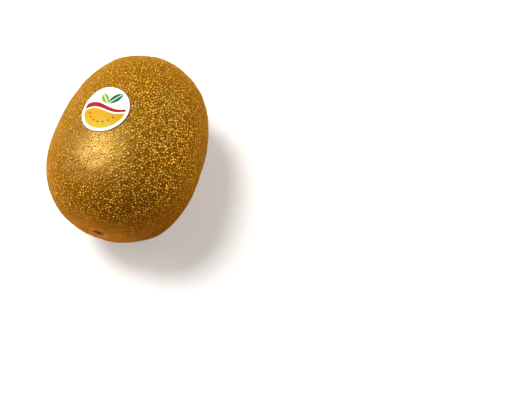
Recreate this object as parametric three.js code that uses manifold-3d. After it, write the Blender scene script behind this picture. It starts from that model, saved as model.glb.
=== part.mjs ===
// A golden kiwi fruit as picked, lying on its side, with the small round paper sticker stuck to its skin.
// Millimetres, +Z up. The long axis runs along X with the stem end at -X. The origin is on the surface
// that the fruit rests on, under the middle of its length.
import * as THREE from "three";
import { mergeVertices } from "three/addons/utils/BufferGeometryUtils.js";
import Module from "manifold-3d";

const wasm = await Module();
wasm.setup();

// Driving dimensions of the fruit
const fruitLength = 72;
const fruitWidth = 55.4;
const fruitHeight = 53.6;
const noseHeight = 0.9;
const stemShare = 0.495;
const squareness = 2.35;
const stemFullness = 0.047;
const flatSpotDepth = 0.5;

// How the fruit lies: its blossom end turned down a little, so that its weight is over the flat spot
const restTurn = THREE.MathUtils.degToRad(2);

// The skin's points: how finely it is divided, and how much closer the points stand at the two ends
const skinDetail = 20;
const endCrowding = 0.38;

// The pit at the stem end, its middle a little to +Y and below the long axis, and the nose at the
// blossom end
const pitDepth = 1.15;
const pitRadius = 3.1;
const pitAside = 0.6;
const pitDrop = 2.4;
const shoulderHeight = 0.3;
const shoulderRadius = 7;
const shoulderWidth = 2.6;
const noseRadius = 4.2;

// The corky spots that cover the skin, larger than life
const spotHeight = 0.28;
const spotSpacing = 2.5;
const spotSeed = 20261;
const clearOfPit = 4.5;
const clearOfNose = 3.5;
const clearOfSurface = 1.2;

// The woody scar where the stalk broke off, and the withered styles of the flower
const scarRadius = 1.95;
const scarRise = 0.45;
const scarSides = 18;
const rootDepth = 2.5;
const styleCount = 11;
const styleRingRadius = 1.15;
const styleReach = 0.4;
const styleRadius = 0.4;
const styleSides = 5;
const styleLean = 0.7;
const styleSeed = 77;

// The sticker
const stickerDiameter = 18;
const stickerThickness = 0.4;
const stickerGap = 0.12;
const stickerTurnFromTop = 0.228;
const stickerForward = 0.018;
const stickerRings = 9;
const stickerSectors = 54;

// Derived values
const bodyLength = fruitLength - noseHeight - styleReach;
const stemHalf = bodyLength * stemShare;
const blossomHalf = bodyLength - stemHalf;
const pitDirection = new THREE.Vector3(-stemHalf, pitAside, -pitDrop).normalize();

// Half the girth in the direction psi, measured round the long axis from the top towards +Y.
// u runs from 1 at the stem end to -1 at the blossom end. Faint lengthwise ridges make it uneven.
function halfGirth(u, psi) {
  const oval = 1 / Math.hypot(Math.cos(psi) / (fruitHeight / 2), Math.sin(psi) / (fruitWidth / 2));
  const ridges =
    0.006 * Math.cos(3 * psi + 1.0 + 1.2 * u) + 0.004 * Math.cos(5 * psi - 0.5 + 2.5 * u);
  return oval * (1 + stemFullness * u) * (1 + ridges * (1 - u * u));
}

// The point of the smooth skin that lies in a direction from the fruit's middle, with that middle at
// zero and the fruit not yet laid down: a rounded barrel, with the pit sunk into its stem end and the
// nose raised on its blossom end.
function skinPoint(direction) {
  const u = -direction.x;
  const psi = Math.atan2(direction.y, direction.z);
  const half = u > 0 ? stemHalf : blossomHalf;
  const along = Math.pow(Math.abs(u) / half, squareness);
  const across = Math.pow(Math.sqrt(Math.max(0, 1 - u * u)) / halfGirth(u, psi), squareness);
  const point = direction.clone().multiplyScalar(Math.pow(along + across, -1 / squareness));
  if (u > 0) {
    const fromPit = Math.hypot(point.y - pitAside, point.z + pitDrop);
    point.x += pitDepth * Math.exp(-((fromPit / pitRadius) ** 2));
    point.x -= shoulderHeight * Math.exp(-(((fromPit - shoulderRadius) / shoulderWidth) ** 2));
  } else {
    const fromAxis = Math.hypot(point.y, point.z);
    point.x += noseHeight * Math.exp(-((fromAxis / noseRadius) ** 2));
  }
  return point;
}

// A small seeded random source, the same on every run
function makeRandom(seed) {
  let state = seed;
  return () => {
    state = (Math.imul(state, 1664525) + 1013904223) >>> 0;
    return state / 4294967296;
  };
}

// A closed geometry with its shared corners merged, as a solid
function solidFrom(geometry) {
  const bare = geometry.clone();
  bare.deleteAttribute("normal");
  bare.deleteAttribute("uv");
  const merged = mergeVertices(bare, 1e-4);
  return new wasm.Manifold(
    new wasm.Mesh({
      numProp: 3,
      vertProperties: merged.attributes.position.array,
      triVerts: new Uint32Array(merged.index.array),
    }),
  );
}

// A solid as a geometry
function geometryFrom(solid) {
  const mesh = solid.getMesh();
  const geometry = new THREE.BufferGeometry();
  geometry.setAttribute("position", new THREE.BufferAttribute(mesh.vertProperties, 3));
  geometry.setIndex(new THREE.BufferAttribute(mesh.triVerts, 1));
  geometry.computeVertexNormals();
  return geometry;
}

// An even ball of points, drawn closer together towards the two ends and carried out to the skin
function smoothSkin() {
  const ball = new THREE.IcosahedronGeometry(1, skinDetail);
  ball.deleteAttribute("normal");
  ball.deleteAttribute("uv");
  const skin = mergeVertices(ball, 1e-5);
  const place = skin.attributes.position;
  const direction = new THREE.Vector3();
  for (let i = 0; i < place.count; i++) {
    direction.fromBufferAttribute(place, i).normalize();
    const polar = Math.acos(THREE.MathUtils.clamp(direction.x, -1, 1));
    const crowded = polar - (endCrowding * Math.sin(2 * polar)) / 2;
    const psi = Math.atan2(direction.y, direction.z);
    direction.set(
      Math.cos(crowded),
      Math.sin(crowded) * Math.sin(psi),
      Math.sin(crowded) * Math.cos(psi),
    );
    place.setXYZ(i, ...skinPoint(direction).toArray());
  }
  skin.computeVertexNormals();
  return skin;
}

// The turn and the move that lay the fruit down, with its lowest part below the resting surface by
// the depth of the flat spot
function layingDown(skin) {
  const turned = skin.clone().rotateY(restTurn);
  turned.computeBoundingBox();
  return new THREE.Matrix4()
    .makeRotationY(restTurn)
    .setPosition(stemHalf - fruitLength / 2, 0, -turned.boundingBox.min.z - flatSpotDepth);
}

// True where a spot may stand: off the resting place, the pit, the nose and the sticker
function takesSpot(point) {
  return (
    point.z > clearOfSurface &&
    point.distanceTo(pitFloor) > clearOfPit &&
    point.distanceTo(noseTip) > clearOfNose &&
    point.distanceTo(stickerMiddle) > stickerDiameter / 2 + 1
  );
}

// Raises spots on the skin's own corners, visited in a shuffled order, never two too close together
function raiseSpots(skin) {
  const random = makeRandom(spotSeed);
  const place = skin.attributes.position;
  const order = Array.from({ length: place.count }, (_, i) => i);
  for (let i = order.length - 1; i > 0; i--) {
    const j = Math.floor(random() * (i + 1));
    [order[i], order[j]] = [order[j], order[i]];
  }
  const raised = [];
  for (const i of order) {
    const point = new THREE.Vector3().fromBufferAttribute(place, i);
    if (!takesSpot(point)) continue;
    if (raised.some((other) => other.distanceTo(point) < spotSpacing)) continue;
    raised.push(point);
    const outward = new THREE.Vector3().fromBufferAttribute(skin.attributes.normal, i);
    const lifted = point.clone().addScaledVector(outward, spotHeight * (0.6 + 0.4 * random()));
    place.setXYZ(i, ...lifted.toArray());
  }
}

// The woody button in the stem pit: a low disc with a raised rim, its root sunk into the fruit
function stemScar() {
  const profile = [
    [0, -rootDepth],
    [scarRadius * 0.8, -rootDepth],
    [scarRadius, 0],
    [scarRadius * 0.93, scarRise],
    [scarRadius * 0.7, scarRise * 0.9],
    [scarRadius * 0.45, scarRise * 0.35],
    [scarRadius * 0.2, scarRise * 0.6],
    [0, scarRise * 0.65],
  ].map(([radius, height]) => new THREE.Vector2(radius, height));
  const scar = new THREE.LatheGeometry(profile, scarSides);
  scar.rotateZ(Math.PI / 2);
  const floorOfPit = skinPoint(pitDirection);
  scar.translate(floorOfPit.x, floorOfPit.y, floorOfPit.z);
  return scar;
}

// One withered style of the flower: a short tapered stub that leans outwards from the nose. Its lean,
// its length and its place in the ring differ a little from its neighbours'.
function witheredStyle(index, random) {
  const turn = ((index + 0.5 * random()) / styleCount) * 2 * Math.PI;
  const length = styleReach * (0.7 + 0.6 * random());
  const lean = styleLean * (0.7 + 0.6 * random());
  const stub = new THREE.CylinderGeometry(
    styleRadius * 0.6,
    styleRadius,
    length + rootDepth,
    styleSides,
  );
  stub.translate(0, (length - rootDepth) / 2, 0);
  stub.rotateZ(-Math.PI / 2);
  stub.rotateY(-lean);
  stub.translate(0, 0, styleRingRadius * (0.8 + 0.3 * random()));
  stub.rotateX(turn);
  const tip = skinPoint(new THREE.Vector3(1, 0, 0));
  stub.translate(tip.x - styleRadius / 2, tip.y, tip.z);
  return stub;
}

// The direction from the fruit's middle of a place on the sticker, from its distance and its bearing
function stickerDirection(distance, bearing) {
  const girth = halfGirth(0, stickerTurnFromTop);
  const outward = new THREE.Vector3(
    stickerForward,
    Math.sin(stickerTurnFromTop),
    Math.cos(stickerTurnFromTop),
  ).normalize();
  const forward = new THREE.Vector3(1, 0, 0).addScaledVector(outward, -outward.x).normalize();
  const sideways = new THREE.Vector3().crossVectors(outward, forward);
  const angle = distance / girth;
  return outward
    .multiplyScalar(Math.cos(angle))
    .addScaledVector(forward, Math.sin(angle) * Math.cos(bearing))
    .addScaledVector(sideways, Math.sin(angle) * Math.sin(bearing));
}

// The sticker: a thin round sheet that follows the skin. Rings of points run from the middle of its
// outer face to the rim, then back along its inner face.
function stickerGeometry() {
  const radius = stickerDiameter / 2;
  const layers = [stickerGap + stickerThickness, stickerGap];
  const points = [];
  for (const lift of layers) {
    for (let ring = 0; ring <= stickerRings; ring++) {
      const count = ring === 0 ? 1 : stickerSectors;
      for (let sector = 0; sector < count; sector++) {
        const bearing = (sector / stickerSectors) * 2 * Math.PI;
        const direction = stickerDirection((radius * ring) / stickerRings, bearing);
        points.push(skinPoint(direction).addScaledVector(direction, lift));
      }
    }
  }
  const layerSize = 1 + stickerRings * stickerSectors;
  const at = (layer, ring, sector) =>
    layer * layerSize + (ring === 0 ? 0 : 1 + (ring - 1) * stickerSectors + (sector % stickerSectors));
  const faces = [];
  for (let sector = 0; sector < stickerSectors; sector++) {
    faces.push([at(0, 0, 0), at(0, 1, sector), at(0, 1, sector + 1)]);
    faces.push([at(1, 0, 0), at(1, 1, sector + 1), at(1, 1, sector)]);
    for (let ring = 1; ring < stickerRings; ring++) {
      const corners = (layer) => [
        at(layer, ring, sector),
        at(layer, ring + 1, sector),
        at(layer, ring + 1, sector + 1),
        at(layer, ring, sector + 1),
      ];
      const [a, b, c, d] = corners(0);
      faces.push([a, b, c], [a, c, d]);
      const [e, f, g, h] = corners(1);
      faces.push([e, g, f], [e, h, g]);
    }
    const [top, nextTop] = [at(0, stickerRings, sector), at(0, stickerRings, sector + 1)];
    const [under, nextUnder] = [at(1, stickerRings, sector), at(1, stickerRings, sector + 1)];
    faces.push([top, under, nextUnder], [top, nextUnder, nextTop]);
  }
  const geometry = new THREE.BufferGeometry().setFromPoints(points);
  geometry.setIndex(faces.flat());
  geometry.computeVertexNormals();
  return geometry;
}

// Everything below the surface that the fruit rests on
function belowTheSurface() {
  const block = new THREE.BoxGeometry(2 * fruitLength, 2 * fruitLength, fruitHeight);
  block.translate(0, 0, -fruitHeight / 2);
  return solidFrom(block);
}

// The whole fruit, laid down: the skin with its spots raised, joined with the scar and the styles, and
// cut off flat where it meets the resting surface
function fruitGeometry(skin) {
  const laid = skin.clone().applyMatrix4(layDown);
  raiseSpots(laid);
  let fruit = solidFrom(laid).add(solidFrom(stemScar().applyMatrix4(layDown)));
  const random = makeRandom(styleSeed);
  for (let index = 0; index < styleCount; index++) {
    fruit = fruit.add(solidFrom(witheredStyle(index, random).applyMatrix4(layDown)));
  }
  return geometryFrom(fruit.subtract(belowTheSurface()));
}

const skinMaterial = new THREE.MeshStandardMaterial({
  color: 0xb98023,
  roughness: 0.5,
  metalness: 0,
});
const paperMaterial = new THREE.MeshStandardMaterial({
  color: 0xfbf7ea,
  roughness: 0.35,
  metalness: 0,
});

const skin = smoothSkin();
const layDown = layingDown(skin);
const pitFloor = skinPoint(pitDirection).applyMatrix4(layDown);
const noseTip = skinPoint(new THREE.Vector3(1, 0, 0)).applyMatrix4(layDown);
const stickerMiddle = skinPoint(stickerDirection(0, 0)).applyMatrix4(layDown);

const fruit = new THREE.Mesh(fruitGeometry(skin), skinMaterial);
fruit.name = "fruit";
const sticker = new THREE.Mesh(stickerGeometry().applyMatrix4(layDown), paperMaterial);
sticker.name = "sticker";

const kiwi = new THREE.Group();
kiwi.add(fruit, sticker);
export default kiwi;
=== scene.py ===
import bpy
import numpy as np
from mathutils import Matrix, Vector


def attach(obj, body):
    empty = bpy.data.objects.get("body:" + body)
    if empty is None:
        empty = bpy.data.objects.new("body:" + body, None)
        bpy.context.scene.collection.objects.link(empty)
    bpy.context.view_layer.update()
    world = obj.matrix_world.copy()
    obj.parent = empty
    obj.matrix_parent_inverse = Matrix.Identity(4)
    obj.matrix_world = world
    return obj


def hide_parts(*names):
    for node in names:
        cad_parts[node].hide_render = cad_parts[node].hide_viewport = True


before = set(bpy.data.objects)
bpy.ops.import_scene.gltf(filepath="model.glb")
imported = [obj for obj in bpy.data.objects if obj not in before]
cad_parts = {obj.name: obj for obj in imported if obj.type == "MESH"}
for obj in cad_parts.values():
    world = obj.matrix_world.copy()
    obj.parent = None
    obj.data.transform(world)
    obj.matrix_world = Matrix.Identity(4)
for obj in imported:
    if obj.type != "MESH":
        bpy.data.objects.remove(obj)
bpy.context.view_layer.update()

# A golden kiwi fruit lying on its side. Lengths are in metres. The long axis runs along X with the stem
# end at -X. polar is the angle from the stem end, psi the angle round the fruit from the top towards +Y.
MM = 0.001

# The barrel of the fruit, with the same values as its solid
FRUIT_LENGTH = 72 * MM
FRUIT_WIDTH = 55.4 * MM
FRUIT_HEIGHT = 53.6 * MM
NOSE_HEIGHT = 0.9 * MM
STYLE_REACH = 0.4 * MM
STEM_SHARE = 0.495
SQUARENESS = 2.35
STEM_FULLNESS = 0.047
FLAT_SPOT_DEPTH = 0.5 * MM
REST_TURN = np.radians(2)
PIT_DEPTH = 1.15 * MM
PIT_RADIUS = 3.1 * MM
PIT_ASIDE = 0.6 * MM
PIT_DROP = 2.4 * MM
SHOULDER_HEIGHT = 0.3 * MM
SHOULDER_RADIUS = 7 * MM
SHOULDER_WIDTH = 2.6 * MM
NOSE_RADIUS = 4.2 * MM

BODY_LENGTH = FRUIT_LENGTH - NOSE_HEIGHT - STYLE_REACH
STEM_HALF = BODY_LENGTH * STEM_SHARE
BLOSSOM_HALF = BODY_LENGTH - STEM_HALF

# The fine form of the skin
SKIN_RINGS = 250
SKIN_SEGMENTS = 370
END_CROWDING = 0.38
FLAT_SPOT_SOFTNESS = 0.2 * MM
BROAD_WAVE, BROAD_SWELL = 15 * MM, 0.09 * MM
DENT_WAVE, DENT_SWELL = 5 * MM, 0.026 * MM
PEBBLE_WAVE, PEBBLE_SWELL = 1.7 * MM, 0.016 * MM
PUCKER_RADIUS, PUCKER_WIDTH, PUCKER_HEIGHT = 4.2 * MM, 1.8 * MM, 0.07 * MM
SKIN_SEED = 11

# The corky spots
SPOT_COUNT = 9300
SPOT_SIDES = 6
SPOT_RADIUS = 0.38 * MM
SPOT_HEIGHT = 0.055 * MM
SPOT_SHIFT = 0.65
SPOT_ROOM = 0.85
SPREAD_ROUNDS = 16
SPREAD_SHARE = 0.25
SPIRAL_NEIGHBOURS = (5, 8, 13, 21, 34, 55, 89, 144, 233, 377)
PIT_CLEARANCE = 3.8 * MM
NOSE_CLEARANCE = 3.5 * MM
STICKER_CLEARANCE = 0.3 * MM
TONE_START, TONE_SPAN = 6 * MM, 9 * MM
SPOT_SEED = 23

# The scar of the stalk. Its outline gives radius and height as shares, from its middle out and down.
SCAR_RADIUS = 1.95 * MM
SCAR_RISE = 0.45 * MM
SCAR_SECTORS = 132
SCAR_OUTLINE = np.array(
    [(0.04, 0.5), (0.12, 0.52), (0.22, 0.42), (0.34, 0.3), (0.45, 0.34), (0.56, 0.55), (0.66, 0.78)]
    + [(0.76, 0.95), (0.86, 1.0), (0.94, 0.88), (0.99, 0.55), (1.01, 0.1), (0.98, -0.6), (0.9, -1.4)]
)

# The dry styles of the flower
STYLE_COUNT = 30
STYLE_STEPS = 12
STYLE_SIDES = 6
STYLE_LENGTH = 2.1 * MM
STYLE_RADIUS = 0.13 * MM

# The sticker
STICKER_DIAMETER = 18 * MM
STICKER_TURN_FROM_TOP = 0.228
STICKER_FORWARD = 0.018
STICKER_THICKNESS = 0.2 * MM
STICKER_UNDERSIDE = -0.35
STICKER_TWIST = np.radians(5.5)
STICKER_RINGS = 44
STICKER_SECTORS = 160

# The floor, and the camera in the fruit's own frame
FLOOR_HALF = 3.0
FLOOR_LEVEL = -0.05 * MM
CAMERA_PLACE = np.array([-124.65, -84.05, 284.21]) * MM
CAMERA_FORWARD = (0.3795, 0.1091, -0.9187)
CAMERA_RIGHT = (0.2763, -0.9611, 0.0)
CAMERA_SENSOR = 36
CAMERA_LENS = 60.26

# The lamps: name, direction from the fruit's middle, size, power, and whether it only gives gloss
LAMP_DISTANCE = 0.7
LAMPS = (
    ("key", (0.18, 0.45, 0.87), 0.36, 5.9, False),
    ("gleam", (-0.02, 0.62, 0.79), 0.44, 12.6, True),
    ("gleam_beside", (-0.02, 0.16, 0.98), 0.45, 5.5, True),
    ("side", (0.15, 1.0, 0.12), 0.5, 3.5, False),
    ("back", (0.85, -0.45, 0.25), 0.4, 2.5, False),
    ("fill", (-0.4, -0.9, 0.2), 0.5, 0.9, False),
)


def half_girth(u, psi):
    """Half the girth: an oval that swells towards the stem end (u = 1), with faint lengthwise ridges
    that fade out at both ends."""
    oval = 1 / np.hypot(np.cos(psi) / (FRUIT_HEIGHT / 2), np.sin(psi) / (FRUIT_WIDTH / 2))
    ridges = 0.006 * np.cos(3 * psi + 1.0 + 1.2 * u) + 0.004 * np.cos(5 * psi - 0.5 + 2.5 * u)
    return oval * (1 + STEM_FULLNESS * u) * (1 + ridges * (1 - u * u))


def bell(distance, width):
    """A bell curve: 1 at distance 0, falling as exp(-(distance / width)^2)."""
    return np.exp(-((distance / width) ** 2))


def rumple(points, wavelength, seed, waves=28):
    """A smooth random field of about unit height: the sum of plane sine waves of roughly one wavelength
    that run in seeded random directions through the points."""
    rng = np.random.default_rng(seed)
    heading = rng.normal(size=(waves, 3))
    heading /= np.linalg.norm(heading, axis=1, keepdims=True)
    pace = 2 * np.pi / (wavelength * rng.uniform(0.75, 1.5, waves))
    phase = rng.uniform(0, 2 * np.pi, waves)
    field = np.zeros(points.shape[:-1])
    for way, rate, start in zip(heading, pace, phase):
        field += np.sin(rate * (points @ way) + start)
    return field * np.sqrt(2 / waves)


def round_the_pit(points):
    """The distance and the bearing of places from the line along X through the middle of the pit."""
    aside = points[..., 1] - PIT_ASIDE
    above = points[..., 2] + PIT_DROP
    return np.hypot(aside, above), np.arctan2(aside, above)


def barrel_point(polar, psi):
    """Points of the smooth skin about the fruit's own middle. The barrel obeys
    |along / half length|^n + |across / half girth|^n = 1. A bell sinks the pit, a little off the axis at
    the stem end, inside a low bell-shaped shoulder, and a bell raises the nose at the other end."""
    u = np.cos(polar)
    half = np.where(u > 0, STEM_HALF, BLOSSOM_HALF)
    along = (np.abs(u) / half) ** SQUARENESS
    across = (np.abs(np.sin(polar)) / half_girth(u, psi)) ** SQUARENESS
    reach = (along + across) ** (-1 / SQUARENESS)
    from_axis = reach * np.abs(np.sin(polar))
    points = np.stack([-reach * u, from_axis * np.sin(psi), from_axis * np.cos(psi)], axis=-1)
    from_pit, _ = round_the_pit(points)
    sunk = PIT_DEPTH * bell(from_pit, PIT_RADIUS)
    sunk -= SHOULDER_HEIGHT * bell(from_pit - SHOULDER_RADIUS, SHOULDER_WIDTH)
    points[..., 0] += np.where(u > 0, sunk, NOSE_HEIGHT * bell(from_axis, NOSE_RADIUS))
    return points


def turn_down(points):
    """Turns places or directions from the fruit's own frame, its blossom end down, as the fruit lies."""
    cos, sin = np.cos(REST_TURN), np.sin(REST_TURN)
    return np.asarray(points) @ np.array([[cos, 0, -sin], [0, 1, 0], [sin, 0, cos]])


def middle_as_it_lies():
    """The fruit's middle, at the height where its lowest part would be under the resting surface by the
    depth of the flat spot."""
    share = np.linspace(0, np.pi, 400)
    around = np.linspace(0, 2 * np.pi, 400)
    lowest = turn_down(barrel_point(*np.meshgrid(share, around, indexing="ij")))[..., 2].min()
    return np.array([STEM_HALF - FRUIT_LENGTH / 2, 0, -lowest - FLAT_SPOT_DEPTH])


MIDDLE = middle_as_it_lies()


def lay_down(points):
    """Places in the fruit's own frame, carried to where the fruit lies."""
    return MIDDLE + turn_down(points)


def skin_point(polar, psi):
    """Points of the real skin. Random swells, dents, pebbling and radial puckers round the pit move the
    barrel along its outward direction. Where it would pass below the resting surface, it lies flat."""
    points = barrel_point(polar, psi)
    outward = points / np.array([FRUIT_LENGTH, FRUIT_WIDTH, FRUIT_HEIGHT]) ** 2
    outward /= np.linalg.norm(outward, axis=-1, keepdims=True)
    from_pit, bearing = round_the_pit(points)
    at_stem = points[..., 0] < 0
    swell = BROAD_SWELL * rumple(points, BROAD_WAVE, SKIN_SEED)
    swell += DENT_SWELL * rumple(points, DENT_WAVE, SKIN_SEED + 1)
    swell += PEBBLE_SWELL * rumple(points, PEBBLE_WAVE, SKIN_SEED + 2)
    pucker = np.cos(9 * bearing + 0.8 * np.sin(2 * bearing)) + 0.6 * np.cos(14 * bearing + 1.3)
    swell += PUCKER_HEIGHT * pucker * at_stem * bell(from_pit - PUCKER_RADIUS, PUCKER_WIDTH)
    swell *= 1 - at_stem * bell(from_pit, 1.2 * MM)
    points = lay_down(points + outward * swell[..., None])
    height = points[..., 2]
    points[..., 2] = (height + np.hypot(height, FLAT_SPOT_SOFTNESS)) / 2
    return points


def ring_faces(rings, sectors, first=0):
    """Quads between neighbouring rings of points, each ring closed on itself, as an array of corners."""
    ring, sector = np.meshgrid(np.arange(rings - 1), np.arange(sectors), indexing="ij")
    after = (sector + 1) % sectors
    corners = [
        ring * sectors + sector,
        ring * sectors + after,
        (ring + 1) * sectors + after,
        (ring + 1) * sectors + sector,
    ]
    return first + np.stack([c.ravel() for c in corners], axis=1)


def fan_faces(apex, start, sectors, flip):
    """Triangles from one apex to a closed ring of points."""
    sector = np.arange(sectors)
    after = (sector + 1) % sectors
    ends = (after, sector) if flip else (sector, after)
    return np.stack([np.full(sectors, apex), start + ends[0], start + ends[1]], axis=1)


def piece(name, points, faces, material):
    """A mesh object with smooth faces that rides on the fruit. Its place is in its mesh."""
    mesh = bpy.data.meshes.new(name)
    mesh.from_pydata(np.asarray(points).reshape(-1, 3).tolist(), [], faces)
    mesh.shade_smooth()
    mesh.materials.append(material)
    made = bpy.data.objects.new(name, mesh)
    bpy.context.scene.collection.objects.link(made)
    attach(made, "root")
    return made


def lathe_piece(name, rings, apexes, material):
    """A closed piece from rings of points (rings, sectors, 3) and an apex point at either end."""
    count, sectors = rings.shape[:2]
    points = np.concatenate([rings.reshape(-1, 3), np.asarray(apexes)])
    first, last = count * sectors, count * sectors + 1
    faces = ring_faces(count, sectors).tolist()
    faces += fan_faces(first, 0, sectors, flip=True).tolist()
    faces += fan_faces(last, (count - 1) * sectors, sectors, flip=False).tolist()
    return piece(name, points, faces, material)


def display(red, green, blue):
    """A colour as the eye sees it on a screen, 0 to 255, turned into the linear values of a shader."""
    value = np.array([red, green, blue]) / 255
    linear = np.where(value <= 0.04045, value / 12.92, ((value + 0.055) / 1.055) ** 2.4)
    return (*linear.tolist(), 1.0)


# The colours of the skin, with painted light and shade round the stem pit and a painted glow round the stem
# end
SKIN_OCHRE = display(129, 77, 1)
SKIN_OLIVE = display(110, 73, 2)
PIT_GOLD_AND_PAINTED_GLOW = display(244, 178, 40)
SKIN_BLOTCH = display(108, 61, 1)
SKIN_GRAIN = display(180, 118, 6)
SKIN_SPECK = display(214, 158, 14)
SKIN_PORE = display(74, 42, 2)
SKIN_GLOSS = display(255, 216, 122)
LIP_TAN_AND_PAINTED_LIGHT = display(246, 186, 124)
PIT_PAINTED_SHADE = display(80, 26, 4)
NOSE_BROWN = display(92, 52, 18)

# The colours of the cork, the wood, with painted shade on the scar, and the dry flower
CORK_BROWN = display(192, 124, 10)
CORK_GOLD = display(246, 202, 64)
CORK_GRAIN = display(160, 104, 30)
WOOD_TAN = display(150, 92, 48)
WOOD_FIBRE = display(226, 166, 108)
WOOD_BLOTCH = display(128, 70, 32)
SCAR_PAINTED_SHADE = display(62, 18, 3)
FLOWER_DARK = display(44, 28, 16)
FLOWER_WORN = display(104, 74, 44)

# The colours of the sticker, with a painted shadow line at its edge
PAPER_WHITE = display(238, 237, 232)
PRINT_YELLOW = display(196, 170, 3)
PRINT_GOLD = display(202, 150, 1)
PRINT_RED = display(154, 14, 18)
PRINT_BROWN = display(158, 82, 4)
PRINT_LIGHT_GREEN = display(118, 164, 40)
PRINT_DARK_GREEN = display(12, 98, 62)
EDGE_CORE_AND_PAINTED_SHADOW = display(96, 78, 54)

# The colours of the floor and the room, as seen and as they light the fruit
FLOOR_SEEN = display(238, 238, 237)
FLOOR_BOUNCE = display(232, 172, 30)
ROOM_SEEN = (1.0, 1.0, 1.0, 1.0)
ROOM_BOUNCE = display(255, 190, 40)


def add_node(tree, kind, inputs=None, **settings):
    """A shader node with its settings. inputs gives a value or another node's socket for each socket."""
    made = tree.nodes.new(kind)
    for setting, choice in settings.items():
        setattr(made, setting, choice)
    for socket, value in (inputs or {}).items():
        if isinstance(value, bpy.types.NodeSocket):
            tree.links.new(value, made.inputs[socket])
        else:
            made.inputs[socket].default_value = value
    return made


def calc(tree, operation, first, second=0.0, third=0.0):
    """The result of one sum on numbers or sockets."""
    made = add_node(tree, "ShaderNodeMath", {0: first, 1: second, 2: third}, operation=operation)
    return made.outputs[0]


def blend(tree, factor, low, high):
    """A colour between low and high."""
    made = add_node(tree, "ShaderNodeMix", {0: factor, 6: low, 7: high}, data_type="RGBA")
    return made.outputs[2]


def ramp(tree, value, low, high, to_low=0.0, to_high=1.0):
    """A smooth step: to_low where value is under low, to_high where it is over high."""
    inputs = {0: value, 1: low, 2: high, 3: to_low, 4: to_high}
    made = add_node(tree, "ShaderNodeMapRange", inputs, interpolation_type="SMOOTHSTEP")
    return made.outputs[0]


def noise(tree, where, size, detail=2.0, roughness=0.5):
    """Random clouds of about the given size in metres."""
    inputs = {"Vector": where, "Scale": 1 / size, "Detail": detail, "Roughness": roughness}
    return add_node(tree, "ShaderNodeTexNoise", inputs).outputs[0]


def object_place(tree):
    """The shaded place in the object's own coordinates."""
    return add_node(tree, "ShaderNodeTexCoord").outputs["Object"]


def distance_from(tree, where, point):
    """The distance of the shaded place from a fixed point."""
    made = add_node(tree, "ShaderNodeVectorMath", {0: where, 1: point}, operation="DISTANCE")
    return made.outputs["Value"]


def new_material(name):
    """An empty node material: its tree and its shader."""
    made = bpy.data.materials.new(name)
    made.use_nodes = True
    return made, made.node_tree, made.node_tree.nodes["Principled BSDF"]


def new_group(name, inputs, outputs):
    """An empty node group with named sockets: its tree, and its input and output nodes."""
    tree = bpy.data.node_groups.new(name, "ShaderNodeTree")
    for label, kind, value in inputs:
        socket = tree.interface.new_socket(label, in_out="INPUT", socket_type=kind)
        if value is not None:
            socket.default_value = value
    for label, kind in outputs:
        tree.interface.new_socket(label, in_out="OUTPUT", socket_type=kind)
    return tree, tree.nodes.new("NodeGroupInput"), tree.nodes.new("NodeGroupOutput")


def plant_grain_group():
    """Fine vegetable grain: clouds and small cells of one size, as a mask around 0.5 and a height."""
    tree, given, result = new_group(
        "plant_grain",
        [("Vector", "NodeSocketVector", None), ("Size", "NodeSocketFloat", 0.001)],
        [("Mask", "NodeSocketFloat"), ("Height", "NodeSocketFloat")],
    )
    scale = calc(tree, "DIVIDE", 1.0, given.outputs["Size"])
    inputs = {"Vector": given.outputs["Vector"], "Scale": scale, "Detail": 3.0, "Roughness": 0.6}
    clouds = add_node(tree, "ShaderNodeTexNoise", inputs).outputs[0]
    inputs = {"Vector": given.outputs["Vector"], "Scale": calc(tree, "MULTIPLY", scale, 1.3)}
    cells = add_node(tree, "ShaderNodeTexVoronoi", inputs).outputs["Distance"]
    mask = ramp(tree, clouds, 0.3, 0.7)
    tree.links.new(mask, result.inputs["Mask"])
    tree.links.new(calc(tree, "MULTIPLY_ADD", cells, 0.6, mask), result.inputs["Height"])
    return tree


plant_grain = plant_grain_group()


def grain(tree, where, size):
    """The plant grain placed in a material: its mask and its height."""
    made = add_node(tree, "ShaderNodeGroup", node_tree=plant_grain)
    tree.links.new(where, made.inputs["Vector"])
    made.inputs["Size"].default_value = size
    return made.outputs["Mask"], made.outputs["Height"]


def set_bump(tree, shader, height, depth, strength=1.0):
    """Feeds a height through a Bump node to the shader's normal. depth is in metres."""
    inputs = {"Height": height, "Distance": depth, "Strength": strength}
    made = add_node(tree, "ShaderNodeBump", inputs)
    tree.links.new(made.outputs["Normal"], shader.inputs["Normal"])


# The middle of the pit and the tip of the nose, and where they are in the fruit's own frame
PIT_WAY = (np.arctan2(np.hypot(PIT_ASIDE, PIT_DROP), STEM_HALF), np.arctan2(PIT_ASIDE, -PIT_DROP))
NOSE_WAY = (np.array(np.pi), np.array(0.0))
PIT_FLOOR = skin_point(*PIT_WAY)
NOSE_TIP = skin_point(*NOSE_WAY)
PIT_FLOOR_X = barrel_point(*PIT_WAY)[0]
NOSE_TIP_X = barrel_point(*NOSE_WAY)[0]


def above_pit(rise):
    """The place that is higher than the middle of the pit by the given rise."""
    return (PIT_FLOOR + np.array([0, 0, rise])).tolist()


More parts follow.
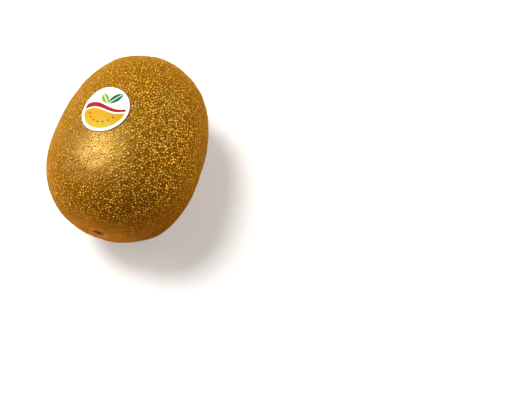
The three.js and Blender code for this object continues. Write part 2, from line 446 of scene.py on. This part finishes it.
def ground_colour(tree, where):
    """Ochre turning to olive in clouds, golden round the stem pit, partly the skin's own tone and partly a
    painted glow of bounce light, with brown blotches.
    """
    olive = ramp(tree, noise(tree, where, 16 * MM, 3.0), 0.35, 0.68)
    colour = blend(tree, olive, SKIN_OCHRE, SKIN_OLIVE)
    from_pit = distance_from(tree, where, PIT_FLOOR.tolist())
    uneven = calc(tree, "MULTIPLY_ADD", noise(tree, where, 6 * MM, 4.0, 0.6), 16 * MM, from_pit)
    # Painted glow: the gold round the stem end is partly the skin's own tone and partly painted bounce
    # light.
    colour = blend(tree, ramp(tree, uneven, 13 * MM, 25 * MM, 0.76, 0.0), colour, PIT_GOLD_AND_PAINTED_GLOW)
    blotch = ramp(tree, noise(tree, where, 3.2 * MM, 4.0, 0.6), 0.42, 0.7)
    return blend(tree, calc(tree, "MULTIPLY", blotch, 0.5), colour, SKIN_BLOTCH)


def speckled(tree, where, colour):
    """The colour sprinkled with minute pale specks, some larger than others, and with dark pores."""
    cells = add_node(tree, "ShaderNodeTexVoronoi", {"Vector": where, "Scale": 1 / (0.85 * MM)})
    chance = add_node(tree, "ShaderNodeSeparateColor", {0: cells.outputs["Color"]}).outputs[0]
    edge = calc(tree, "MULTIPLY_ADD", chance, -0.36, cells.outputs["Distance"])
    pale = ramp(tree, edge, -0.04, 0.04, 0.6, 0.0)
    colour = blend(tree, pale, colour, SKIN_SPECK)
    pores = add_node(tree, "ShaderNodeTexVoronoi", {"Vector": where, "Scale": 1 / (1.3 * MM)})
    dark = ramp(tree, pores.outputs["Distance"], 0.1, 0.2, 1.0, 0.0)
    return blend(tree, calc(tree, "MULTIPLY", dark, 0.75), colour, SKIN_PORE)


def with_ends(tree, where, colour):
    """The colour with a pale lip under the stem pit, partly a paler rim of skin and partly painted light on
    the pit's lower wall, painted shade in the hollow, set a little towards its upper side, and a dark nose.
    """
    # Painted light: the pale lip sits low on the pit, partly a paler rim of skin and partly painted light
    # on the pit's lower wall.
    from_lip = distance_from(tree, where, above_pit(-1.2 * MM))
    uneven = calc(tree, "MULTIPLY_ADD", noise(tree, where, 1.6 * MM, 4.0, 0.6), 3 * MM, from_lip)
    colour = blend(tree, ramp(tree, uneven, 3.7 * MM, 5.6 * MM, 0.75, 0.0), colour, LIP_TAN_AND_PAINTED_LIGHT)
    # Painted shade: the red-brown disc in the hollow, set a little high, stands in for the shade under the
    # pit's upper rim.
    shaded = ramp(tree, distance_from(tree, where, above_pit(0.6 * MM)), 1.9 * MM, 2.7 * MM, 0.9, 0.0)
    colour = blend(tree, shaded, colour, PIT_PAINTED_SHADE)
    from_nose = distance_from(tree, where, NOSE_TIP.tolist())
    return blend(tree, ramp(tree, from_nose, 1.6 * MM, 5.5 * MM, 0.85, 0.0), colour, NOSE_BROWN)


def skin_material():
    """Thin bronze skin: clouded ochre and olive under a fine grain, sprinkled with pale and dark specks,
    golden round the stem end, partly its own tone and partly a painted glow, with painted light on the
    pit's lower lip, painted shade in the stem pit, and darker round the nose. It has a broken, waxy gloss."""
    made, tree, shader = new_material("kiwi_skin")
    where = object_place(tree)
    mask, height = grain(tree, where, 0.7 * MM)
    grained = calc(tree, "MULTIPLY", mask, 0.4)
    colour = blend(tree, grained, ground_colour(tree, where), SKIN_GRAIN)
    colour = speckled(tree, where, colour)
    colour = with_ends(tree, where, colour)
    tree.links.new(colour, shader.inputs["Base Color"])

    patches = noise(tree, where, 2.2 * MM, 3.0)
    tree.links.new(ramp(tree, patches, 0.3, 0.7, 0.32, 0.4), shader.inputs["Roughness"])
    shader.inputs["Specular IOR Level"].default_value = 0.55
    shader.inputs["Specular Tint"].default_value = SKIN_GLOSS
    set_bump(tree, shader, height, 0.05 * MM, 0.6)
    return made


def cork_material():
    """Dry cork of the spots: pale golden tan, each spot with a shade of its own, matt and grainy."""
    made, tree, shader = new_material("corky_spots")
    where = object_place(tree)
    shade = add_node(tree, "ShaderNodeAttribute", attribute_name="shade").outputs["Fac"]
    colour = blend(tree, shade, CORK_BROWN, CORK_GOLD)
    mask, height = grain(tree, where, 0.25 * MM)
    colour = blend(tree, calc(tree, "MULTIPLY", mask, 0.25), colour, CORK_GRAIN)
    tree.links.new(colour, shader.inputs["Base Color"])
    tree.links.new(ramp(tree, mask, 0.0, 1.0, 0.62, 0.8), shader.inputs["Roughness"])
    shader.inputs["Specular IOR Level"].default_value = 0.3
    set_bump(tree, shader, height, 0.02 * MM, 0.5)
    return made


def scar_material():
    """Broken woody stalk: tan wood with paler ends of fibres and brown blotches, its upper part darkened by
    painted shade from the pit's upper rim.
    """
    made, tree, shader = new_material("stalk_wood")
    where = object_place(tree)
    fibres = add_node(tree, "ShaderNodeMapping", {"Vector": where, "Scale": (0.25, 1.0, 1.0)})
    mask, height = grain(tree, fibres.outputs[0], 0.3 * MM)
    colour = blend(tree, mask, WOOD_TAN, WOOD_FIBRE)
    blotch = ramp(tree, noise(tree, where, 1.2 * MM, 3.0), 0.4, 0.65)
    colour = blend(tree, calc(tree, "MULTIPLY", blotch, 0.5), colour, WOOD_BLOTCH)
    # Painted shade: the scar's upper part is darkened where the pit's upper rim would shade it.
    uneven = calc(tree, "MULTIPLY_ADD", mask, 0.5 * MM, distance_from(tree, where, above_pit(1.5 * MM)))
    colour = blend(tree, ramp(tree, uneven, 1.6 * MM, 2.3 * MM, 0.92, 0.0), colour, SCAR_PAINTED_SHADE)
    tree.links.new(colour, shader.inputs["Base Color"])
    tree.links.new(ramp(tree, mask, 0.0, 1.0, 0.6, 0.85), shader.inputs["Roughness"])
    set_bump(tree, shader, height, 0.12 * MM, 0.8)
    return made


def dry_flower_material():
    """Withered styles: nearly black brown, paler where they are worn."""
    made, tree, shader = new_material("dry_flower")
    where = object_place(tree)
    mask, height = grain(tree, where, 0.35 * MM)
    colour = blend(tree, mask, FLOWER_DARK, FLOWER_WORN)
    tree.links.new(colour, shader.inputs["Base Color"])
    tree.links.new(ramp(tree, mask, 0.0, 1.0, 0.65, 0.85), shader.inputs["Roughness"])
    set_bump(tree, shader, height, 0.03 * MM, 0.7)
    return made


def leaf_mask(tree, right, up, root, heading, length, width):
    """1 inside a pointed leaf: the places within width * (1 - (2a / length - 1)^2) of its midrib, where
    a runs along the midrib from its root."""
    across_root = calc(tree, "SUBTRACT", right, root[0])
    above_root = calc(tree, "SUBTRACT", up, root[1])
    cos, sin = float(np.cos(heading)), float(np.sin(heading))
    along = calc(tree, "MULTIPLY_ADD", above_root, sin, calc(tree, "MULTIPLY", across_root, cos))
    aside = calc(tree, "MULTIPLY_ADD", above_root, cos, calc(tree, "MULTIPLY", across_root, -sin))
    share = calc(tree, "MULTIPLY_ADD", along, 2 / length, -1.0)
    edge = calc(tree, "MULTIPLY_ADD", calc(tree, "POWER", share, 2.0), -width, width)
    inside = calc(tree, "SUBTRACT", edge, calc(tree, "ABSOLUTE", aside))
    return ramp(tree, inside, -0.01, 0.01), calc(tree, "ABSOLUTE", aside)


def dot_arc(tree, right, up, from_middle):
    """1 inside small dots that lie at even turns on a circle round the middle of the sticker."""
    turn = calc(tree, "ARCTAN2", up, right)
    along_arc = calc(tree, "MULTIPLY", calc(tree, "SINE", calc(tree, "MULTIPLY", turn, 9.0)), 0.067)
    off_arc = calc(tree, "SUBTRACT", from_middle, 0.6)
    from_dot = calc(tree, "MULTIPLY_ADD", off_arc, off_arc, calc(tree, "POWER", along_arc, 2.0))
    return ramp(tree, calc(tree, "SQRT", from_dot), 0.04, 0.05, 1.0, 0.0)


def sprig(tree, right, up, colour):
    """The colour with two green leaves on one root, each with a midrib left open."""
    for heading, length, width, green in (
        (np.radians(126), 0.62, 0.14, PRINT_LIGHT_GREEN),
        (np.radians(48), 0.72, 0.16, PRINT_DARK_GREEN),
    ):
        leaf, aside = leaf_mask(tree, right, up, (0.1, 0.2), heading, length, width)
        vein = ramp(tree, aside, 0.012, 0.02, 0.0, 1.0)
        colour = blend(tree, calc(tree, "MULTIPLY", leaf, vein), colour, green)
    return colour


def printed_colour(tree, right, up, from_middle):
    """The print: white, with a golden field under a wave, a red wave above it, an arc of small dots on
    the field, and a sprig of two leaves. Places run from -1 to 1 over the sticker."""
    inside = ramp(tree, from_middle, 0.85, 0.87, 1.0, 0.0)
    wave = calc(tree, "MULTIPLY", calc(tree, "SINE", calc(tree, "MULTIPLY", right, 3.4)), -0.11)
    over_wave = calc(tree, "SUBTRACT", up, calc(tree, "ADD", wave, -0.1))
    golden = calc(tree, "MULTIPLY", ramp(tree, over_wave, -0.01, 0.01, 1.0, 0.0), inside)
    band_low = ramp(tree, over_wave, 0.06, 0.08)
    band_high = calc(tree, "MULTIPLY_ADD", right, -0.08, 0.24)
    band = calc(tree, "LESS_THAN", over_wave, band_high)
    red = calc(tree, "MULTIPLY", calc(tree, "MULTIPLY", band_low, band), inside)

    gold = blend(tree, ramp(tree, up, -0.85, -0.2), PRINT_YELLOW, PRINT_GOLD)
    colour = blend(tree, golden, PAPER_WHITE, gold)
    colour = blend(tree, red, colour, PRINT_RED)
    dots = calc(tree, "MULTIPLY", dot_arc(tree, right, up, from_middle), golden)
    dots = calc(tree, "MULTIPLY", dots, ramp(tree, over_wave, -0.14, -0.1, 1.0, 0.0))
    return sprig(tree, right, up, blend(tree, dots, colour, PRINT_BROWN))


def sticker_material():
    """Printed paper with a slight gloss and a dark band at its cut edge, partly the darker paper core and
    partly a painted shadow line. The print reads the sticker's own UV map.
    """
    made, tree, shader = new_material("sticker_print")
    spot = add_node(tree, "ShaderNodeUVMap", uv_map="print").outputs[0]
    parts = add_node(tree, "ShaderNodeSeparateXYZ", {0: spot})
    right = calc(tree, "MULTIPLY_ADD", parts.outputs[0], 2.0, -1.0)
    up = calc(tree, "MULTIPLY_ADD", parts.outputs[1], 2.0, -1.0)
    up_squared = calc(tree, "POWER", up, 2.0)
    from_middle = calc(tree, "SQRT", calc(tree, "MULTIPLY_ADD", right, right, up_squared))
    colour = printed_colour(tree, right, up, from_middle)
    # Painted shadow: the dark band at the cut edge is partly the paper core and partly a painted shadow
    # line.
    colour = blend(tree, ramp(tree, from_middle, 0.972, 0.985), colour, EDGE_CORE_AND_PAINTED_SHADOW)
    tree.links.new(colour, shader.inputs["Base Color"])

    fibre = noise(tree, object_place(tree), 0.5 * MM, 4.0)
    tree.links.new(ramp(tree, fibre, 0.3, 0.7, 0.36, 0.46), shader.inputs["Roughness"])
    shader.inputs["Specular IOR Level"].default_value = 0.1
    set_bump(tree, shader, fibre, 0.02 * MM, 0.3)
    return made


def floor_material():
    """A pale sheet, lit a little from behind, and more so far from the fruit, where the lamps are weak.
    What it throws back on the fruit is warm."""
    made, tree, shader = new_material("pale_floor")
    seen = add_node(tree, "ShaderNodeLightPath").outputs["Is Camera Ray"]
    far = ramp(tree, distance_from(tree, object_place(tree), (0, 0, 0)), 0.1, 1.2, 0.3, 0.85)
    colour = blend(tree, seen, FLOOR_BOUNCE, FLOOR_SEEN)
    tree.links.new(colour, shader.inputs["Base Color"])
    shader.inputs["Emission Color"].default_value = (1, 1, 1, 1)
    tree.links.new(calc(tree, "MULTIPLY", far, seen), shader.inputs["Emission Strength"])
    shader.inputs["Roughness"].default_value = 0.8
    return made


def make_skin():
    """The whole skin on a grid of polar and psi, the rings closer together at both ends."""
    share = np.linspace(0, np.pi, SKIN_RINGS + 2)[1:-1]
    crowded = share - END_CROWDING * np.sin(2 * share) / 2
    around = np.linspace(0, 2 * np.pi, SKIN_SEGMENTS, endpoint=False)
    polar, psi = np.meshgrid(crowded, around, indexing="ij")
    stem_end = skin_point(np.array(0.0), np.array(0.0))
    skin = lathe_piece("skin", skin_point(polar, psi), [stem_end, NOSE_TIP], skin_material())
    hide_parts("fruit")
    return skin


def skin_frame(polar, psi):
    """The point, the two tangents and the outward normal of the skin, by small differences."""
    small = 1e-3
    point = skin_point(polar, psi)
    lengthwise = skin_point(polar + small, psi) - skin_point(polar - small, psi)
    sideways = skin_point(polar, psi + small) - skin_point(polar, psi - small)
    lengthwise /= np.linalg.norm(lengthwise, axis=-1, keepdims=True)
    normal = np.cross(sideways, lengthwise)
    normal /= np.linalg.norm(normal, axis=-1, keepdims=True)
    return point, lengthwise, np.cross(lengthwise, normal), normal


def spread_out(points, spacing):
    """Pushes close points apart. On a golden-angle spiral the neighbours of a point are a Fibonacci number
    of places before or after it, so each such pair nearer than SPOT_ROOM of the spacing moves apart, by
    SPREAD_SHARE of what it lacks, in each round."""
    for _ in range(SPREAD_ROUNDS):
        push = np.zeros_like(points)
        for step in SPIRAL_NEIGHBOURS:
            gap = points[step:] - points[:-step]
            length = np.linalg.norm(gap, axis=1, keepdims=True)
            part = SPREAD_SHARE * (SPOT_ROOM * spacing - length).clip(0) * gap / length
            push[step:] += part
            push[:-step] -= part
        points = points + push
    return points


def spot_places(rng):
    """Polar and psi of the spots: a golden-angle spiral with equal skin area for each spot, each place
    then moved at random by up to SPOT_SHIFT of the spacing, and spread out."""
    rings = np.linspace(0.02, np.pi - 0.02, 800)
    profile = skin_point(rings, np.full_like(rings, np.pi / 2))
    arc = np.linalg.norm(np.diff(profile, axis=0), axis=1)
    girth = np.sin((rings[1:] + rings[:-1]) / 2) * np.linalg.norm(profile[1:] - MIDDLE, axis=1)
    area = np.concatenate([[0], np.cumsum(arc * girth)])
    index = np.arange(SPOT_COUNT)
    polar = np.interp((index + 0.5) / SPOT_COUNT * area[-1], area, rings)
    psi = index * np.pi * (3 - np.sqrt(5))
    spacing = np.sqrt(2 * np.pi * area[-1] / SPOT_COUNT)
    polar += rng.uniform(-SPOT_SHIFT, SPOT_SHIFT, SPOT_COUNT) * spacing / (FRUIT_WIDTH / 2)
    psi += rng.uniform(-SPOT_SHIFT, SPOT_SHIFT, SPOT_COUNT) * spacing / (FRUIT_WIDTH / 2 * np.sin(polar))
    places = spread_out(barrel_point(polar, psi), spacing)
    polar = np.arccos(-places[:, 0] / np.linalg.norm(places, axis=1))
    return polar, np.arctan2(places[:, 1], places[:, 2])


def clear_places(point):
    """Which places keep clear of the pit, the nose and the sticker."""
    middle = sticker_point(np.array(0.0), np.array(0.0), 0.0)
    keep = np.full(len(point), True)
    for place, room in (
        (PIT_FLOOR, PIT_CLEARANCE),
        (NOSE_TIP, NOSE_CLEARANCE),
        (middle, STICKER_DIAMETER / 2 + STICKER_CLEARANCE),
    ):
        keep &= np.linalg.norm(point - place, axis=1) > room
    return keep


def spot_domes(rng, polar, point, lengthwise, sideways, normal):
    """The points of each spot: a top point, a ring at 0.6 of its radius and a ring sunk in the skin,
    stretched and turned at random, with the ring's corners drawn in and out. Spots are smaller towards
    both ends of the fruit, and none reaches down to the resting surface."""
    count = len(point)
    size = SPOT_RADIUS * np.exp(rng.normal(0, 0.25, count)).clip(0.5, 1.6)
    size *= 0.7 + 0.3 * np.sin(polar) ** 3
    stretch = np.exp(rng.normal(0.06, 0.13, count))
    turn = rng.uniform(0, np.pi, count)
    height = SPOT_HEIGHT * (size / SPOT_RADIUS) * rng.uniform(0.7, 1.3, count)
    height = np.minimum(height, 0.8 * point[:, 2])
    first = np.cos(turn)[:, None] * lengthwise + np.sin(turn)[:, None] * sideways
    second = np.cross(normal, first)
    angle = np.arange(SPOT_SIDES) / SPOT_SIDES * 2 * np.pi
    reach = rng.uniform(0.72, 1.25, (count, SPOT_SIDES)) * size[:, None]
    step_one = (reach * np.cos(angle) * stretch[:, None])[..., None] * first[:, None]
    step_two = (reach * np.sin(angle) / stretch[:, None])[..., None] * second[:, None]
    spread = step_one + step_two
    top = point + normal * height[:, None]
    inner = point[:, None] + 0.6 * spread + normal[:, None] * (0.72 * height)[:, None, None]
    outer = point[:, None] + spread - normal[:, None] * (0.4 * height)[:, None, None]
    return np.concatenate([top[:, None], inner, outer], axis=1)


def spot_faces(count):
    """The faces of all the spots: a fan to the top point, a band between the rings and a flat underside."""
    single = fan_faces(0, 1, SPOT_SIDES, flip=False).tolist()
    single += [face[::-1] for face in ring_faces(2, SPOT_SIDES, first=1).tolist()]
    single.append(list(range(2 * SPOT_SIDES, SPOT_SIDES, -1)))
    each = 1 + 2 * SPOT_SIDES
    firsts = range(0, count * each, each)
    return [[first + corner for corner in face] for first in firsts for face in single]


def spot_tones(rng, point):
    """The shade of each spot: 0 up to about TONE_START from the pit, rising over TONE_SPAN to a random
    value of 0.55 or more. A random field makes the border uneven."""
    uneven = 1.5 * MM * rumple(point, 9 * MM, SPOT_SEED)
    from_pit = np.linalg.norm(point - PIT_FLOOR, axis=1) + uneven
    return rng.uniform(0.55, 1, len(point)) * np.clip((from_pit - TONE_START) / TONE_SPAN, 0, 1)


def make_spots():
    """Low irregular domes over the skin, each with a shade of its own, browner near the pit."""
    rng = np.random.default_rng(SPOT_SEED)
    polar, psi = spot_places(rng)
    point, *ways = skin_frame(polar, psi)
    keep = clear_places(point)
    point = point[keep]
    points = spot_domes(rng, polar[keep], point, *(way[keep] for way in ways))
    spots = piece("corky_spots", points, spot_faces(len(point)), cork_material())
    tone = spot_tones(rng, point)
    shade = spots.data.attributes.new("shade", "FLOAT", "POINT")
    shade.data.foreach_set("value", np.repeat(tone, points.shape[1]).astype(np.float32))
    return spots


def make_stem_scar():
    """The woody button: its outline turned round the middle of the pit, its rim ragged and its top broken
    into radial fibres, with its root sunk under the floor of the pit."""
    rng = np.random.default_rng(SKIN_SEED + 7)
    angle = np.linspace(0, 2 * np.pi, SCAR_SECTORS, endpoint=False)
    waves = sum(np.cos(k * angle + rng.uniform(0, 6.3)) / np.sqrt(k) for k in (3, 5, 8, 13, 21, 34))
    fibres = np.cos(31 * angle + 2 * waves) + 0.6 * np.cos(47 * angle + 3 * waves)
    radius = SCAR_OUTLINE[:, :1] * SCAR_RADIUS * (1 + 0.035 * waves)
    on_top = np.clip(SCAR_OUTLINE[:, 1:] * 1.4, 0, 1)
    height = SCAR_OUTLINE[:, 1:] * SCAR_RISE + on_top * MM * (0.05 * fibres + 0.05 * waves)
    aside = PIT_ASIDE + radius * np.sin(angle)
    above = radius * np.cos(angle) - PIT_DROP
    rings = np.stack([PIT_FLOOR_X - height, aside, above], axis=-1)
    apexes = [(PIT_FLOOR_X + lift * SCAR_RISE, PIT_ASIDE, -PIT_DROP) for lift in (-0.5, 1.4)]
    return lathe_piece("stem_scar", lay_down(rings), lay_down(apexes), scar_material())


def style_path(rng, index, run):
    """One style's path in the fruit's own frame: it starts in the nose, rises a little and curls out over
    it. run goes from 0 to 1 along it."""
    turn = (index + rng.uniform(-0.35, 0.35)) / STYLE_COUNT * 2 * np.pi
    length = STYLE_LENGTH * rng.uniform(0.55, 1.2)
    out = rng.uniform(0.7, 1.3) * MM + length * run * (0.55 + 0.45 * run)
    twist = turn + rng.uniform(-0.5, 0.5) * run**2
    rise = rng.uniform(0.15, 0.4) * MM * np.sin(np.pi * run) - 0.35 * MM * (1 - run) ** 3
    under = NOSE_HEIGHT * (bell(out, NOSE_RADIUS) - 1) - out**2 / (2 * FRUIT_WIDTH / 2)
    x = NOSE_TIP_X + under + rise + 0.1 * MM
    return np.stack([x, out * np.sin(twist), out * np.cos(twist)], axis=-1)


def tube_rings(path, radius, sides):
    """Rings of points round a path, each square to it."""
    ahead = np.gradient(path, axis=0)
    ahead /= np.linalg.norm(ahead, axis=1, keepdims=True)
    side = np.cross(ahead, [1.0, 0.0, 0.0])
    side /= np.linalg.norm(side, axis=1, keepdims=True)
    over = np.cross(side, ahead)
    angle = np.arange(sides) / sides * 2 * np.pi
    ring = np.cos(angle)[:, None] * side[:, None] + np.sin(angle)[:, None] * over[:, None]
    return path[:, None] + radius[:, None, None] * ring


def make_styles():
    """The rosette of withered styles: closed tapered tubes, each with a small knob at its end."""
    rng = np.random.default_rng(SKIN_SEED + 9)
    run = np.linspace(0, 1, STYLE_STEPS)
    radius = STYLE_RADIUS * (1 - 0.45 * run + 0.55 * bell(run - 0.95, 0.08))
    on_tube = STYLE_STEPS * STYLE_SIDES
    tubes, faces = [], []
    for index in range(STYLE_COUNT):
        path = style_path(rng, index, run)
        rings = tube_rings(path, radius, STYLE_SIDES)
        tubes.append(np.concatenate([rings.reshape(-1, 3), path[:1], path[-1:]]))
        first = index * (on_tube + 2)
        root, tip = first + on_tube, first + on_tube + 1
        faces += ring_faces(STYLE_STEPS, STYLE_SIDES, first).tolist()
        faces += fan_faces(root, first, STYLE_SIDES, flip=True).tolist()
        faces += fan_faces(tip, root - STYLE_SIDES, STYLE_SIDES, flip=False).tolist()
    points = lay_down(np.concatenate(tubes))
    return piece("withered_styles", points, faces, dry_flower_material())


def sticker_point(distance, bearing, lift):
    """A place on the sticker, lift above the skin: distance from its middle along a great circle of the
    directions from the fruit's middle, bearing turned from the stem-to-blossom direction."""
    outward = np.array([STICKER_FORWARD, np.sin(STICKER_TURN_FROM_TOP), np.cos(STICKER_TURN_FROM_TOP)])
    outward /= np.linalg.norm(outward)
    forward = np.array([1.0, 0.0, 0.0]) - outward[0] * outward
    forward /= np.linalg.norm(forward)
    sideways = np.cross(outward, forward)
    angle = (distance / half_girth(0.0, STICKER_TURN_FROM_TOP))[..., None]
    bearing = np.asarray(bearing)[..., None]
    heading = np.cos(bearing) * forward + np.sin(bearing) * sideways
    direction = np.cos(angle) * outward + np.sin(angle) * heading
    polar = np.arccos(np.clip(-direction[..., 0], -1, 1))
    psi = np.arctan2(direction[..., 1], direction[..., 2])
    return skin_point(polar, psi) + turn_down(direction) * np.asarray(lift)[..., None]


def print_layer(sheet, distance, bearing):
    """The sticker's UV map: each place on it as seen flat, its rim at 0.5 from the middle of the map."""
    up = np.concatenate([(distance * np.cos(bearing - STICKER_TWIST)).ravel(), [0, 0]])
    left = np.concatenate([(distance * np.sin(bearing - STICKER_TWIST)).ravel(), [0, 0]])
    flat = 0.5 + np.stack([-left, up], axis=1) / STICKER_DIAMETER
    corners = np.empty(len(sheet.data.loops), np.int32)
    sheet.data.loops.foreach_get("vertex_index", corners)
    layer = sheet.data.uv_layers.new(name="print")
    layer.data.foreach_set("uv", flat[corners].astype(np.float32).ravel())


def make_sticker():
    """The round sticker: rings of points round its middle that follow the skin, with slack ripples that
    grow towards the rim, a rounded edge and an underside just in the skin."""
    radius = STICKER_DIAMETER / 2
    share = np.concatenate([np.linspace(0.03, 0.985, STICKER_RINGS), [0.997, 1.0, 1.0, 0.99]])
    share_of_lift = np.concatenate([np.ones(STICKER_RINGS), [0.9, 0.62, 0.2, STICKER_UNDERSIDE]])
    around = np.linspace(0, 2 * np.pi, STICKER_SECTORS, endpoint=False)
    distance, bearing = np.meshgrid(share * radius, around[::-1], indexing="ij")
    rim = (distance / radius) ** 6
    slack = 0.08 * MM * rim * (1 + np.sin(3 * bearing + 0.7) + 0.6 * np.sin(7 * bearing))
    lift = STICKER_THICKNESS * share_of_lift[:, None] + slack.clip(0)
    rows = sticker_point(distance, bearing, lift)
    middle = sticker_point(np.array(0.0), np.array(0.0), STICKER_THICKNESS)
    under = sticker_point(np.array(0.0), np.array(0.0), STICKER_UNDERSIDE * STICKER_THICKNESS)
    sheet = lathe_piece("sticker_sheet", rows, [middle, under], sticker_material())
    print_layer(sheet, distance, bearing)
    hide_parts("sticker")
    return sheet


def make_floor():
    """A wide pale floor just under the fruit."""
    mesh = bpy.data.meshes.new("floor")
    signs = ((-1, -1), (1, -1), (1, 1), (-1, 1))
    corners = [(x * FLOOR_HALF, y * FLOOR_HALF, FLOOR_LEVEL) for x, y in signs]
    mesh.from_pydata(corners, [], [(0, 1, 2, 3)])
    mesh.materials.append(floor_material())
    floor = bpy.data.objects.new("floor", mesh)
    bpy.context.scene.collection.objects.link(floor)


def make_camera():
    """The camera stands where the photograph's did, in the fruit's own frame, and looks the same way,
    past the fruit, so that the fruit takes the same place in the picture."""
    forward = Vector(turn_down(CAMERA_FORWARD)).normalized()
    right = Vector(turn_down(CAMERA_RIGHT)).normalized()
    up = right.cross(forward).normalized()
    data = bpy.data.cameras.new("camera")
    data.sensor_width = CAMERA_SENSOR
    data.lens = CAMERA_LENS
    camera = bpy.data.objects.new("camera", data)
    bpy.context.scene.collection.objects.link(camera)
    turn = Matrix((right, up, -forward)).transposed().to_4x4()
    camera.matrix_world = Matrix.Translation(Vector(lay_down(CAMERA_PLACE))) @ turn
    bpy.context.scene.camera = camera


def soft_light(name, direction, size, power, gleam):
    """A round softbox that stands off the fruit in a direction and faces it. One with gleam shows only
    as a reflection, the others only light the surfaces."""
    data = bpy.data.lights.new(name, "AREA")
    data.shape = "DISK"
    data.size = size
    data.energy = power
    light = bpy.data.objects.new(name, data)
    light.visible_glossy = gleam
    light.visible_diffuse = not gleam
    bpy.context.scene.collection.objects.link(light)
    way = Vector(direction).normalized()
    light.location = Vector(MIDDLE) + way * LAMP_DISTANCE
    light.rotation_euler = way.to_track_quat("Z", "Y").to_euler()


def make_lights():
    """A softbox above the fruit, with two that only give its gloss, one low at its +Y side, one low behind
    it, a weak one at its shaded side, and a dim room whose walls look pale."""
    for lamp in LAMPS:
        soft_light(*lamp)
    world = bpy.data.worlds.new("studio")
    world.use_nodes = True
    tree = world.node_tree
    seen = add_node(tree, "ShaderNodeLightPath").outputs["Is Camera Ray"]
    tree.links.new(ramp(tree, seen, 0.0, 1.0, 0.08, 0.95), tree.nodes["Background"].inputs["Strength"])
    colour = blend(tree, seen, ROOM_BOUNCE, ROOM_SEEN)
    tree.links.new(colour, tree.nodes["Background"].inputs["Color"])
    bpy.context.scene.world = world
    bpy.context.scene.view_settings.view_transform = "Standard"


make_camera()
make_skin()
make_spots()
make_stem_scar()
make_styles()
make_sticker()
make_floor()
make_lights()
